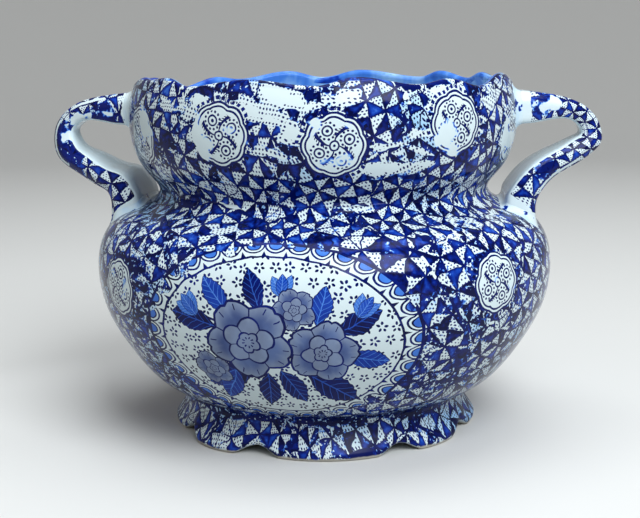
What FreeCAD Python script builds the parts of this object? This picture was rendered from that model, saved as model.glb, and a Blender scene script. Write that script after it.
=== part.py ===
"""Ceramic jardiniere in millimetres: a swelling bowl on a scalloped foot, a bulging collar with a hand-cut
wavy rim and two tapering strap handles, all joined with beds of slip.

The origin is the middle of the foot's resting plane. +Z is up, +X points to the right handle and the front
is -Y. Angles round the pot are in degrees from the front, positive towards the right handle.
"""
import FreeCAD
import Part
import math
import os

V = FreeCAD.Vector
ORIGIN = V(0, 0, 0)
UP = V(0, 0, 1)
ACROSS = V(1, 0, 0)

# Heights of the main levels above the table.
RIM_HEIGHT = 177.8
RIM_TRIM = 2.2
WAIST_HEIGHT = 121.0
FOOT_TOP = 19.1
FLOOR_TOP = 25.2

# Outside of the wall from the foot's crease to the rim, as radius and height.
SLIP_THICKNESS = 1.2
BOWL_BASE = FOOT_TOP + SLIP_THICKNESS
WAIST_RADIUS = 83.2
BELLY_OUTSIDE = [(71.5, BOWL_BASE), (80.0, 22.8), (89.3, 29.4), (102.6, 46.5), (111.2, 62.5), (115.0, 83.5),
                 (112.2, 98.0), (103.5, 108.4), (91.0, 113.8)]
COLLAR_OUTSIDE = [(WAIST_RADIUS, WAIST_HEIGHT), (86.4, 127.0), (91.2, 133.0), (95.4, 142.0), (97.5, 156.5),
                  (96.2, 168.0), (91.4, RIM_HEIGHT + RIM_TRIM)]
WALL_OUTSIDE = BELLY_OUTSIDE + COLLAR_OUTSIDE
BELLY_WALL = 5.6
COLLAR_WALL = 4.6
FLOOR_RADIUS = 60.0

# Dips and crests of the hand-cut rim in turn: angle round the pot and drop below the rim's height.
RIM_WAVE = [(-144, 4.4), (-135, 3.0), (-119.5, 8.0), (-100, 2.0), (-78, 4.0), (-62, 0.6), (-57, 1.6),
            (-46, 0.4), (-35.5, 4.0), (-16, 0.8), (3, 3.6), (14, 0.0), (32, 3.5), (42.5, 1.4), (55, 5.0),
            (72, 0.0), (86, 3.2), (101, 0.6), (109, 2.7), (117, 0.8), (126.5, 4.0), (139, 0.4), (148.5, 3.8),
            (171, 0.0), (185, 4.0), (197.5, 0.4)]

# Foot: four wide lobes to the front, sides and back, with narrow ones between, parted by arched notches.
FOOT_TURN = 6.2
WIDE_LOBES = 4
WIDE_LOBE = 54.0
# How full each lobe is, from the front one round by the right: the hand-pressed foot is uneven.
LOBE_FULLNESS = [1.0, 0.9, 1.0, 1.0, 1.0, 1.0, 1.0, 1.7]
NOTCH_RISE = 5.0
NOTCH_REACH = 14.0
NOTCH_CLEARANCE = 2.0
FOOT_HOLLOW_TOP = 63.5
FOOT_HOLLOW_BOTTOM = 66.0
# Levels of the foot from its top down: height, radius at the notches, and how far the lobes stand out.
FOOT_LEVELS = [(FOOT_TOP, 71.2, 0.0), (14.5, 71.3, 0.2), (10.5, 72.3, 0.9), (6.0, 73.8, 2.4), (3.0, 74.6, 3.6),
               (0.9, 74.4, 3.4), (0.0, 73.4, 3.2)]
FOOT_BEAD_RADIUS = 72.0

# Strap handle from its collar end to its shoulder end: outer x and z, inner x and z, half width.
HANDLE_STATIONS = [
    (88.0, 168.4, 88.0, 152.8, 18.0),
    (97.0, 168.8, 98.0, 153.0, 17.0),
    (106.5, 168.0, 106.0, 153.6, 15.0),
    (117.5, 166.2, 114.8, 155.0, 12.0),
    (128.2, 162.2, 121.8, 154.8, 9.5),
    (136.0, 155.2, 126.6, 152.0, 8.0),
    (138.8, 147.0, 128.2, 147.8, 8.5),
    (136.2, 138.4, 125.0, 143.4, 11.5),
    (125.6, 131.0, 117.9, 139.4, 16.0),
    (115.0, 125.2, 107.6, 133.8, 20.5),
    (108.2, 119.6, 98.8, 128.6, 23.5),
    (105.9, 114.0, 93.3, 121.4, 25.0),
    (105.9, 108.0, 91.2, 114.6, 25.5),
    (105.9, 97.0, 90.5, 97.0, 26.0),
]
# The two hand-made straps differ: their slanting arms sit lower or higher at these stations.
SLANTING_STATIONS = (7, 8, 9)
HANDLE_SAG = {"left": -2.2, "right": 2.0}
STRAP_OUTER_BEVEL = 4.0
STRAP_INNER_BEVEL = 1.5
BED_THICKNESS = 1.4
BEAD_WIDTH = 1.8

# Points round the closed curves, and how far the cutting rings and slabs reach past what they cut.
RIM_POINTS = 120
FOOT_POINTS = 96
NOTCH_POINTS = 160
CUTTER_MARGIN = 15.0
SLAB_HALF = 200.0


def profile_point(radius, height):
    return V(radius, 0, height)


def spline(points):
    curve = Part.BSplineCurve()
    curve.interpolate(points)
    return curve.toShape()


def offset_profile(profile, distances):
    """Moves each point of an upward profile along its outward normal by its own distance."""
    moved = []
    last = len(profile) - 1
    for i, (radius, height) in enumerate(profile):
        before = profile[max(i - 1, 0)]
        after = profile[min(i + 1, last)]
        along_r = after[0] - before[0]
        along_z = after[1] - before[1]
        length = math.hypot(along_r, along_z)
        moved.append((radius + distances[i] * along_z / length, height - distances[i] * along_r / length))
    return moved


def turned(edges):
    face = Part.Face(Part.Wire(edges))
    return face.revolve(ORIGIN, UP, 360)


def filled_pot(profile):
    """Solid of revolution under a profile, with no hollow."""
    points = [profile_point(*p) for p in profile]
    top = V(0, 0, points[-1].z)
    bottom = V(0, 0, points[0].z)
    edges = [Part.makeLine(bottom, points[0]), spline(points), Part.makeLine(points[-1], top),
             Part.makeLine(top, bottom)]
    return turned(edges)


def hollow_pot():
    """Bowl and collar together, with the floor, before the waist parts them and the rim is cut."""
    outside = [profile_point(*p) for p in WALL_OUTSIDE]
    walls = [-BELLY_WALL] * len(BELLY_OUTSIDE) + [-COLLAR_WALL] * len(COLLAR_OUTSIDE)
    inside = [profile_point(*p) for p in offset_profile(WALL_OUTSIDE, walls)[1:]]
    inside[-1].z = outside[-1].z
    inside.insert(0, V(FLOOR_RADIUS, 0, FLOOR_TOP))
    floor_middle = V(0, 0, FLOOR_TOP)
    base_middle = V(0, 0, BOWL_BASE)
    edges = [Part.makeLine(base_middle, outside[0]), spline(outside), Part.makeLine(outside[-1], inside[-1]),
             spline(inside), Part.makeLine(inside[0], floor_middle), Part.makeLine(floor_middle, base_middle)]
    return turned(edges)


def slab(low, high):
    """Square block that keeps what lies between two heights."""
    return Part.makeBox(2 * SLAB_HALF, 2 * SLAB_HALF, high - low, V(-SLAB_HALF, -SLAB_HALF, low))


def around(angle, radius, height):
    turn = math.radians(angle)
    return V(radius * math.sin(turn), -radius * math.cos(turn), height)


def ring_curve(point_at, count):
    """Closed curve through points worked out at equal angles round the pot."""
    curve = Part.BSplineCurve()
    points = [point_at(360.0 * k / count) for k in range(count)]
    shares = [k / count for k in range(count + 1)]
    curve.interpolate(Points=points, PeriodicFlag=True, Parameters=shares)
    return curve.toShape()


def wavy_cutter(height_at, inner, outer, count, depth):
    """Ring with one wavy face, from which it runs up (or down, for a negative depth) by its depth."""
    inner_edge = ring_curve(lambda a: around(a, inner, height_at(a)), count)
    outer_edge = ring_curve(lambda a: around(a, outer, height_at(a)), count)
    return Part.makeRuledSurface(inner_edge, outer_edge).extrude(V(0, 0, depth))


def rim_level(angle):
    """Height of the rim, eased from each dip to the next crest."""
    first_angle, first_drop = RIM_WAVE[0]
    angle = first_angle + (angle - first_angle) % 360
    wave = RIM_WAVE + [(first_angle + 360, first_drop)]
    for (start, start_drop), (end, end_drop) in zip(wave, wave[1:]):
        if start <= angle <= end:
            eased = (1 - math.cos(math.pi * (angle - start) / (end - start))) / 2
            return RIM_HEIGHT - start_drop - eased * (end_drop - start_drop)
    return RIM_HEIGHT


def foot_notches():
    """Angles of the notches, two for each wide lobe."""
    middles = [FOOT_TURN + 360 * k / WIDE_LOBES for k in range(WIDE_LOBES)]
    return [m + side * WIDE_LOBE / 2 for m in middles for side in (-1, 1)]


def foot_lobe(angle):
    """How far a lobe stands out: nothing at its notches and its fullness at its middle."""
    notches = foot_notches()
    angle = notches[0] + (angle - notches[0]) % 360
    ends = notches[1:] + [notches[0] + 360]
    for fullness, start, end in zip(LOBE_FULLNESS, notches, ends):
        if start <= angle <= end:
            return fullness * (1 - (2 * (angle - start) / (end - start) - 1) ** 2)
    return 0.0


def notch_level(angle):
    """Height of the cut under the foot: clear below the lobes, arched up into the foot at the notches."""
    level = -NOTCH_CLEARANCE
    for notch in foot_notches():
        away = abs((angle - notch + 180) % 360 - 180)
        if away < NOTCH_REACH:
            level += (NOTCH_RISE + NOTCH_CLEARANCE) * (1 + math.cos(math.pi * away / NOTCH_REACH)) / 2
    return level


def foot_ring():
    levels = []
    for height, radius, stand_out in FOOT_LEVELS:
        outline = ring_curve(lambda a: around(a, radius + stand_out * foot_lobe(a), height), FOOT_POINTS)
        levels.append(Part.Wire([outline]))
    block = Part.makeLoft(levels, True, True)
    hollow = Part.makeCone(FOOT_HOLLOW_BOTTOM, FOOT_HOLLOW_TOP, FOOT_TOP)
    arches = wavy_cutter(notch_level, FOOT_HOLLOW_TOP - CUTTER_MARGIN, FOOT_BEAD_RADIUS + CUTTER_MARGIN,
                         NOTCH_POINTS, -CUTTER_MARGIN)
    return block.cut(hollow).cut(arches)


def foot_bed():
    ring = Part.makeCylinder(FOOT_BEAD_RADIUS, SLIP_THICKNESS, V(0, 0, FOOT_TOP))
    return ring.cut(Part.makeCylinder(FOOT_HOLLOW_TOP, SLIP_THICKNESS, V(0, 0, FOOT_TOP)))


def strap_corners(station, sag, grow):
    """Eight corners of the strap's section: bevelled widely on its outer face and lightly on its inner one."""
    outer_x, outer_z, inner_x, inner_z, half_width = station
    inner = V(inner_x, 0, inner_z + sag)
    outer = V(outer_x, 0, outer_z + sag)
    across = (outer - inner).normalize()
    thickness = (outer - inner).Length + grow
    side = half_width + grow
    corners = [(-grow, STRAP_INNER_BEVEL - side), (-grow, side - STRAP_INNER_BEVEL),
               (STRAP_INNER_BEVEL - grow, side), (thickness - STRAP_OUTER_BEVEL, side),
               (thickness, side - STRAP_OUTER_BEVEL),
               (thickness, STRAP_OUTER_BEVEL - side), (thickness - STRAP_OUTER_BEVEL, -side),
               (STRAP_INNER_BEVEL - grow, -side)]
    return [inner + across * n + V(0, y, 0) for n, y in corners]


def corner_line(points):
    """Smooth line along the strap, with the same knots for every corner."""
    steps = len(points) - 1
    line = Part.BSplineCurve()
    line.interpolate(Points=points, Parameters=[k / steps for k in range(steps + 1)])
    return line


def face_between(line, other):
    """Straight-sided face from one corner line to the next."""
    surface = Part.BSplineSurface()
    poles = [line.getPoles(), other.getPoles()]
    surface.buildFromPolesMultsKnots(poles, [2, 2], line.getMultiplicities(), [0.0, 1.0], line.getKnots(), False,
                                     False, 1, line.Degree)
    return surface.toShape()


def strap(sag, grow=0.0):
    """Right-hand strap, running on into the pot at both ends: eight long faces between smooth corner lines."""
    sections = []
    for i, station in enumerate(HANDLE_STATIONS):
        shift = sag if i in SLANTING_STATIONS else 0.0
        sections.append(strap_corners(station, shift, grow))
    lines = [corner_line(points) for points in zip(*sections)]
    faces = [face_between(line, other) for line, other in zip(lines, lines[1:] + lines[:1])]
    for end in (sections[0], sections[-1]):
        faces.append(Part.Face(Part.makePolygon(end + [end[0]])))
    skin = Part.Compound(faces)
    skin.sewShape()
    return Part.makeSolid(skin.Shells[0])


def handle_with_beds(side, pot, skin):
    """The strap cut back to the slip's outer skin, and the beds of slip under its collar and shoulder ends."""
    sag = HANDLE_SAG[side]
    handle = strap(sag).cut(skin)
    beds = strap(sag, BEAD_WIDTH).common(skin).cut(pot)
    upper, lower = sorted(beds.Solids, key=lambda bed: -bed.CenterOfMass.z)
    pieces = {"handle_" + side: handle, "upper_" + side + "_slip": upper, "lower_" + side + "_slip": lower}
    if side == "left":
        pieces = {name: piece.mirror(ORIGIN, ACROSS) for name, piece in pieces.items()}
    return pieces


def build():
    seam_low = WAIST_HEIGHT - SLIP_THICKNESS / 2
    seam_high = WAIST_HEIGHT + SLIP_THICKNESS / 2
    wall = hollow_pot()
    rim_cutter = wavy_cutter(rim_level, WAIST_RADIUS - CUTTER_MARGIN, WAIST_RADIUS + 2 * CUTTER_MARGIN,
                             RIM_POINTS, CUTTER_MARGIN)
    pieces = {
        "belly_bowl": wall.common(slab(0, seam_low)),
        "waist_slip": wall.common(slab(seam_low, seam_high)),
        "collar": wall.common(slab(seam_high, RIM_HEIGHT + CUTTER_MARGIN)).cut(rim_cutter),
        "foot_ring": foot_ring(),
        "foot_slip": foot_bed(),
    }
    pot = filled_pot(WALL_OUTSIDE)
    skin = filled_pot(offset_profile(WALL_OUTSIDE, [BED_THICKNESS] * len(WALL_OUTSIDE)))
    for side in ("left", "right"):
        pieces.update(handle_with_beds(side, pot, skin))
    return pieces


os.makedirs("parts", exist_ok=True)
for node, shape in build().items():
    solids = shape.Solids
    print(f"{node}: solids {len(solids)}, volume {shape.Volume / 1000:.1f} cm3, valid {shape.isValid()}")
    solids[0].exportStep(f"parts/{node}.step")
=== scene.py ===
"""Looks of a ceramic jardiniere: printed blue-and-white earthenware with a scalloped foot and strap handles.

Metres, in the CAD part's frame: +Z is up, +X points to the right handle and the front is -Y.
Angles round the pot are in degrees from the front, positive towards the right handle.
"""
import functools
import math

import bpy
import numpy as np
from mathutils import Matrix, Vector


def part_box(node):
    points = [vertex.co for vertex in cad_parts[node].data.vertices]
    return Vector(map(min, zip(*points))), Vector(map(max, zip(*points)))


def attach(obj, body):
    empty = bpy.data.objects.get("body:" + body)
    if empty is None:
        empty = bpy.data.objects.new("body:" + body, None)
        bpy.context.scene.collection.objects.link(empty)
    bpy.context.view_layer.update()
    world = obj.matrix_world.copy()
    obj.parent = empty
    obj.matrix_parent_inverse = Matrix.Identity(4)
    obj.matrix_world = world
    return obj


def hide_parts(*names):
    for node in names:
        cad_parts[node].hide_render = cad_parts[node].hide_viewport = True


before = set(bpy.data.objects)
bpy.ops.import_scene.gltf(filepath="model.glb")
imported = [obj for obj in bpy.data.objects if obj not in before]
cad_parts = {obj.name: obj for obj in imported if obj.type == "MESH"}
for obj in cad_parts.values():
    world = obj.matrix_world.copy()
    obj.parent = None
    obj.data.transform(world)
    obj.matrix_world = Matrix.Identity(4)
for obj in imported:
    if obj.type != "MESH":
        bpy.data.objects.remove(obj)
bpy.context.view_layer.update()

# Outside of the wall from the foot's crease to above the rim, as radius and height.
BELLY_OUTSIDE = [(0.0715, 0.0203), (0.0800, 0.0228), (0.0893, 0.0294), (0.1026, 0.0465), (0.1112, 0.0625),
                 (0.1150, 0.0835), (0.1122, 0.0980), (0.1035, 0.1084), (0.0910, 0.1138)]
COLLAR_OUTSIDE = [(0.0832, 0.1210), (0.0864, 0.1270), (0.0912, 0.1330), (0.0954, 0.1420), (0.0975, 0.1565),
                  (0.0962, 0.1680), (0.0914, 0.1800)]
BELLY_WALL = 0.0056
COLLAR_WALL = 0.0046
FLOOR_RADIUS = 0.0600
FLOOR_TOP = 0.0252
BOWL_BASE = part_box("belly_bowl")[0].z
SEAM_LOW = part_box("waist_slip")[0].z
SEAM_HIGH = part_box("waist_slip")[1].z
RIM_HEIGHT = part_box("collar")[1].z

# Dips and crests of the hand-cut rim in turn: angle, and drop below the rim's height.
RIM_WAVE = [(-144, 0.0044), (-135, 0.0030), (-119.5, 0.0080), (-100, 0.0020), (-78, 0.0040), (-62, 0.0006),
            (-57, 0.0016), (-46, 0.0004), (-35.5, 0.0040), (-16, 0.0008), (3, 0.0036), (14, 0.0), (32, 0.0035),
            (42.5, 0.0014), (55, 0.0050), (72, 0.0), (86, 0.0032), (101, 0.0006), (109, 0.0027), (117, 0.0008),
            (126.5, 0.0040), (139, 0.0004), (148.5, 0.0038), (171, 0.0), (185, 0.0040), (197.5, 0.0004)]
DEEPEST_DIP = 0.0080

# Foot: wide lobes to the front, sides and back with narrow ones between, parted by arched notches.
FOOT_TURN = 6.2
WIDE_LOBES = 4
WIDE_LOBE = 54.0
LOBE_FULLNESS = [1.0, 0.9, 1.0, 1.0, 1.0, 1.0, 1.0, 1.7]
NOTCH_RISE = 0.0050
NOTCH_REACH = 14.0
NOTCH_CLEARANCE = 0.0020
FOOT_HOLLOW_TOP = 0.0635
FOOT_HOLLOW_BOTTOM = 0.0660
FOOT_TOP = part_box("foot_ring")[1].z
# Levels of the foot from its top down: height, radius at the notches, and how far the lobes stand out there.
FOOT_LEVELS = [(FOOT_TOP, 0.0712, 0.0), (0.0145, 0.0713, 0.0002), (0.0105, 0.0723, 0.0009),
               (0.0060, 0.0738, 0.0024), (0.0030, 0.0746, 0.0036), (0.0009, 0.0744, 0.0034),
               (0.0, 0.0734, 0.0032)]
# Sole of the foot from its outer edge to the hollow: radius and height. The lobes move what is past a break.
SOLE_TOP = 0.0006
FOOT_SOLE = [(0.0738, 0.0002), (0.0730, 0.0), (0.0690, 0.0), (FOOT_HOLLOW_BOTTOM + 0.0006, 0.0),
             (FOOT_HOLLOW_BOTTOM, 0.0005)]
SOLE_BREAK = 0.0720
HOLLOW_START = 0.0016

# Strap handle from its collar end to its shoulder end: outer x and z, inner x and z, half width.
HANDLE_STATIONS = [
    (0.0880, 0.1684, 0.0880, 0.1528, 0.0180),
    (0.0970, 0.1688, 0.0980, 0.1530, 0.0170),
    (0.1065, 0.1680, 0.1060, 0.1536, 0.0150),
    (0.1175, 0.1662, 0.1148, 0.1550, 0.0120),
    (0.1282, 0.1622, 0.1218, 0.1548, 0.0095),
    (0.1360, 0.1552, 0.1266, 0.1520, 0.0080),
    (0.1388, 0.1470, 0.1282, 0.1478, 0.0085),
    (0.1362, 0.1384, 0.1250, 0.1434, 0.0115),
    (0.1256, 0.1310, 0.1179, 0.1394, 0.0160),
    (0.1150, 0.1252, 0.1076, 0.1338, 0.0205),
    (0.1082, 0.1196, 0.0988, 0.1286, 0.0235),
    (0.1059, 0.1140, 0.0933, 0.1214, 0.0250),
    (0.1059, 0.1080, 0.0912, 0.1146, 0.0255),
    (0.1059, 0.0970, 0.0905, 0.0970, 0.0260),
]
SLANTING_STATIONS = (7, 8, 9)
HANDLE_SAG = {"left": -0.0022, "right": 0.0020}
STRAP_OUTER_BEVEL = 0.0040
STRAP_INNER_BEVEL = 0.0015
# Share of each edge of the strap's section that its rounded corners take up at either end.
STRAP_ROUNDING = [0.02, 0.25, 0.10, 0.14, 0.03, 0.14, 0.10, 0.25]
# Middle of the outer face, in edges of the section from the start of the inner one.
OUTER_FACE = 4.5

# Slip: how far it rises up the strap and spreads over the wall, and how its edges tuck under the glaze.
SLIP_RISE = 0.0034
SLIP_SPREAD = 0.0042
SLIP_STEPS = 7
ROOT_DEPTH = 0.0012
CREASE_REACH = 0.0050
SLIP_TUCK = 0.0001
FILLET_FULLNESS = 0.0004
FILLET_TUCK = 0.006
ROOT_TUCK = 0.03

# Fineness of the meshes.
COLUMNS = 288
WALL_ROWS = 72
FLOOR_ROWS = 12
LIP_ROWS = 9
FOOT_ROWS = 22
STRAP_ROWS = 130
FINE = 1600
COARSE_STEP = 8
SMOOTHINGS = 6
WELD = 1e-6

# Print: the angle of its last join, cells of the patchwork round the pot and up the wall, and the cut sheets.
# Runs past the inside's mark belong to the pot's inside.
PRINT_JOIN = -172.0
CELLS_AROUND = 40
CELL_HEIGHT = 0.0165
HANDLE_CELL = 0.0125
DOTS_IN_CELL = 9.5
LOOSE_DOTS_IN_CELL = 8.5
SHEETS_A_METRE = 17.0
INSIDE_RUN = 1.0

# Oval panel on the front and back of the belly: angle, distance up the wall, size and border.
PANEL_ANGLE = -6.1
PANEL_RUN = 0.0600
PANEL_HALF_WIDTH = 0.0566
PANEL_HALF_HEIGHT = 0.0414
PANEL_RADIUS = 0.1128
LAPPETS = 38
LAPPET_WIDTH = 0.0088
LAPPET_MIDDLE = 0.74
LAPPET_EDGE = 0.90
SPRIG_SPACING = 0.0067

# Spray of roses in the panel, from its middle. Stems: start, end and bow. The rest: place, turn and size, and
# for leaves the strength of their colour.
SPRAY_STEMS = [((-0.036, 0.014), (-0.016, 0.004), 0.003), ((0.036, 0.015), (0.020, -0.002), -0.003),
               ((0.004, 0.024), (0.004, 0.010), 0.002), ((-0.046, -0.008), (-0.030, -0.012), -0.002)]
STEM_HALF_WIDTH = 0.0005
SPRAY_LEAVES = [(-0.012, -0.012, 202, 0.031, 0.95), (-0.020, -0.012, 240, 0.025, 0.68),
                (-0.005, -0.014, 262, 0.023, 0.95), (0.001, -0.012, 298, 0.024, 0.95),
                (0.014, -0.014, 324, 0.031, 0.95), (0.031, -0.004, 352, 0.021, 0.68),
                (0.027, 0.008, 28, 0.022, 0.95), (0.018, 0.012, 74, 0.018, 0.68),
                (-0.006, 0.018, 106, 0.019, 0.95), (-0.020, 0.016, 128, 0.020, 0.68),
                (-0.027, 0.010, 168, 0.023, 0.95)]
SPRAY_BUDS = [(-0.036, 0.014, 130, 0.0115), (0.036, 0.015, 58, 0.0115), (0.004, 0.024, 92, 0.0110)]
# Petals of a bud: turn from its middle and strength of colour.
BUD_PETALS = [(-24, 0.45), (24, 0.45), (0, 0.55)]
SPRAY_ROSES = [(0.009, 0.019, 5, 0.0095), (-0.034, -0.014, 66, 0.0100), (0.021, -0.002, 40, 0.0165),
               (-0.012, 0.003, 12, 0.0205)]

# Lobed roundels: angle, distance up the wall and size; on the belly to either side of a middle.
BELLY_ROUNDEL = (49.7, 0.0832, 0.0140)
ROUNDEL_MIDDLE = -2.2
ROUNDEL_LIFTS = (-0.0037, 0.0013)
COLLAR_ROUNDELS = 11
COLLAR_ROUNDEL = (8.2, 0.1700, 0.0144)
COLLAR_RADIUS = 0.0972
# How far hand and eye set each roundel of the collar off its even place: degrees and rise.
COLLAR_ROUNDEL_SLIPS = [(0.0, -0.0019), (1.5, 0.0009), (-0.4, -0.0036), (1.6, 0.0045), (0.0, -0.0040)]
# Gaps where the collar's printed sheets don't meet: angle and run of either end, and half width.
BARE_STROKES = [(-10.2, 0.1904, -0.2, 0.1847, 0.0018), (0.8, 0.1830, 9.0, 0.1871, 0.0019),
                (9.0, 0.1871, 14.0, 0.1896, 0.0022), (-14.2, 0.1805, -4.5, 0.1770, 0.0010),
                (-4.5, 0.1770, -1.8, 0.1715, 0.0015), (-16.2, 0.1626, -11.5, 0.1636, 0.0013),
                (-11.5, 0.1636, -2.2, 0.1599, 0.0016), (-30.2, 0.1859, -26.8, 0.1847, 0.0013),
                (18.8, 0.1651, 25.0, 0.1661, 0.0015), (25.0, 0.1661, 37.5, 0.1599, 0.0014),
                (15.2, 0.1561, 36.0, 0.1574, 0.0016), (29.0, 0.1713, 35.0, 0.1715, 0.0017),
                (37.2, 0.1889, 45.5, 0.1884, 0.0017)]
BARE_REPEATS = 3

# Strength of the ink in each kind of print.
DOT_INK = 0.84
EDGE_INK = 0.88
JOIN_INK = 0.92
ROUNDEL_INK = 0.90
FRINGE_INK = 0.80
FLOWER_INK = 0.95
STEM_INK = 0.90
LAPPET_INK = 0.94
LAPPET_TINT = 0.44

# Glazed clay under rising density of cobalt, slate washes of the flowers, unglazed clay, and the glaze.
COBALT = [(0.0, (0.72, 0.845, 0.895)), (0.14, (0.38, 0.63, 0.92)), (0.36, (0.07, 0.24, 0.78)),
          (0.58, (0.008, 0.055, 0.44)), (0.78, (0.002, 0.012, 0.19)), (1.0, (0.001, 0.003, 0.045))]
SLATE_LIGHT = (0.115, 0.180, 0.40, 1)
SLATE_DARK = (0.055, 0.090, 0.25, 1)
BARE_CLAY = (0.60, 0.57, 0.51, 1)
GLAZE_IOR = 1.5
GLAZE_GLOSS = 0.13
RIPPLE_STRENGTH = 0.35
RIPPLE_DEPTH = 0.0006
FOOT_DULLNESS = 0.25

# Studio: round pale cove. Its paper throws less light on the pot than it shows.
COVE_MIDDLE = 0.4
COVE_FLOOR = 1.5
COVE_BEND = 1.2
COVE_TOP = 2.6
COVE_STEPS = 12
COVE_SIDES = 72
PALE_PAPER = (0.76, 0.755, 0.745, 1)
BOUNCE_PAPER = (0.38, 0.375, 0.365, 1)
PAPER_ROUGHNESS = 0.85
# Lamps: name, place, size, power and colour. They look at a height on the pot's axis.
LAMPS = [("window", (0.72, -1.15, 1.32), 1.1, 34.5, (0.93, 0.98, 1.0)),
         ("left_fill", (-1.5, -0.9, 0.8), 1.3, 3.0, (1.0, 0.96, 0.91)),
         ("overhead", (0.1, 0.1, 1.7), 1.2, 13.5, (0.91, 0.97, 1.0))]
LAMP_AIM = 0.09
SKY_COLOUR = (1.0, 0.975, 0.95, 1)
SKY_STRENGTH = 0.26

# Photograph's view: focal length and frame in pixels, and where the camera stands.
PHOTO_WIDTH = 640
SENSOR_WIDTH = 36.0
FOCAL_PIXELS = 1190.2
CAMERA_DISTANCE = 0.6074
CAMERA_HEIGHT = 0.1896
CAMERA_ANGLE = 5.0
CAMERA_YAW = 0.207
CAMERA_TILT = 9.99
CAMERA_ROLL = -0.5


# Curves and waves


def natural_curve(points, shares, wanted):
    """Points of the natural cubic curve that passes through the given points at the given shares."""
    points = np.asarray(points, float)
    steps = np.diff(shares)
    count = len(points)
    system = np.eye(count)
    right = np.zeros_like(points)
    for i in range(1, count - 1):
        system[i, i - 1:i + 2] = steps[i - 1], 2 * (steps[i - 1] + steps[i]), steps[i]
        right[i] = 6 * ((points[i + 1] - points[i]) / steps[i] - (points[i] - points[i - 1]) / steps[i - 1])
    bend = np.linalg.solve(system, right.reshape(count, -1)).reshape(points.shape)
    span = np.clip(np.searchsorted(shares, wanted) - 1, 0, count - 2)
    shape = (-1,) + (1,) * (points.ndim - 1)
    width = steps[span].reshape(shape)
    after = (np.asarray(wanted) - np.asarray(shares)[span]).reshape(shape)
    before = width - after
    ends = points[span] * before + points[span + 1] * after
    curve = (bend[span] * (before ** 3 / width - before * width)
             + bend[span + 1] * (after ** 3 / width - after * width)) / 6
    return ends / width + curve


def lengths_along(points):
    """Distance along a run of points, from its start."""
    return np.concatenate([[0.0], np.cumsum(np.linalg.norm(np.diff(points, axis=0), axis=1))])


def fine_profile(points):
    """Fine points of the smooth profile through a few radius and height pairs."""
    shares = lengths_along(np.asarray(points))
    return natural_curve(points, shares, np.linspace(0, shares[-1], FINE))


def inset_profile(points, distances):
    """Moves each point of an upward profile inwards by its own distance."""
    points = np.asarray(points)
    along = np.gradient(points, axis=0)
    along[1:-1] = points[2:] - points[:-2]
    along /= np.linalg.norm(along, axis=1)[:, None]
    return points + np.stack([-along[:, 1], along[:, 0]], axis=1) * np.asarray(distances)[:, None]


WALL = fine_profile(BELLY_OUTSIDE + COLLAR_OUTSIDE)
WALL_RUN = lengths_along(WALL)
RIM_RUN = float(np.interp(RIM_HEIGHT, WALL[:, 1], WALL_RUN))
WALL_THICKNESS = [BELLY_WALL] * len(BELLY_OUTSIDE) + [COLLAR_WALL] * len(COLLAR_OUTSIDE)
INSIDE_POINTS = inset_profile(BELLY_OUTSIDE + COLLAR_OUTSIDE, WALL_THICKNESS)[1:]
INSIDE = fine_profile([(FLOOR_RADIUS, FLOOR_TOP)] + [tuple(p) for p in INSIDE_POINTS])
INSIDE_ALONG = lengths_along(INSIDE)


def arc_point(start, corner, end, share):
    """Point at a share of the curve from a start to an end that is drawn towards a corner."""
    return start * (1 - share) ** 2 + corner * 2 * share * (1 - share) + end * share ** 2


def stretch(profile, along, low, high, rows):
    """Radius, distance along and height of even rows on a profile between two heights."""
    start, end = np.interp([low, high], profile[:, 1], along)
    run = np.linspace(start, end, rows)
    radius = np.interp(run, along, profile[:, 0])
    height = np.interp(run, along, profile[:, 1])
    return np.stack([radius, run, height], axis=1)


def rim_drop(angle):
    """Drop of the rim below its height, eased from each dip to the next crest."""
    first = RIM_WAVE[0][0]
    angle = first + (angle - first) % 360
    wave = RIM_WAVE + [(first + 360, RIM_WAVE[0][1])]
    for (start, start_drop), (end, end_drop) in zip(wave, wave[1:]):
        if start <= angle <= end:
            eased = (1 - math.cos(math.pi * (angle - start) / (end - start))) / 2
            return start_drop + eased * (end_drop - start_drop)
    return 0.0


def foot_lobe_and_arch(angle):
    """How far the lobe stands out at an angle, and how far the notch's arch has risen, as shares."""
    spacing = 360 / WIDE_LOBES
    turned = (angle - FOOT_TURN + WIDE_LOBE / 2) % 360
    lobe = 2 * int(turned // spacing)
    within = turned % spacing
    width = WIDE_LOBE
    if within >= WIDE_LOBE:
        lobe += 1
        within -= WIDE_LOBE
        width = spacing - WIDE_LOBE
    swell = LOBE_FULLNESS[lobe] * (1 - (2 * within / width - 1) ** 2)
    away = min(within, width - within, NOTCH_REACH)
    arch = (1 + math.cos(math.pi * away / NOTCH_REACH)) / 2
    level = (NOTCH_RISE + NOTCH_CLEARANCE) * arch - NOTCH_CLEARANCE
    return swell, max(level, 0.0) / NOTCH_RISE


# Node trees


def feed(socket, value):
    """Gives an input a link or a constant."""
    if isinstance(value, Field):
        value.tree.links.new(value.socket, socket)
    else:
        socket.default_value = value


def add_node(tree, kind, inputs=(), **settings):
    """Adds a node with its settings, and feeds its inputs by name or place."""
    made = tree.nodes.new(kind)
    for name, value in settings.items():
        setattr(made, name, value)
    for key, value in dict(inputs).items():
        feed(made.inputs[key], value)
    return made


def value_of(tree, kind, inputs=(), output=0, **settings):
    """Adds a node and gives one of its outputs as a field."""
    return Field(tree, add_node(tree, kind, inputs, **settings).outputs[output])


def add_math(tree, operation, *values):
    return value_of(tree, "ShaderNodeMath", dict(enumerate(values)), operation=operation)


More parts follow.
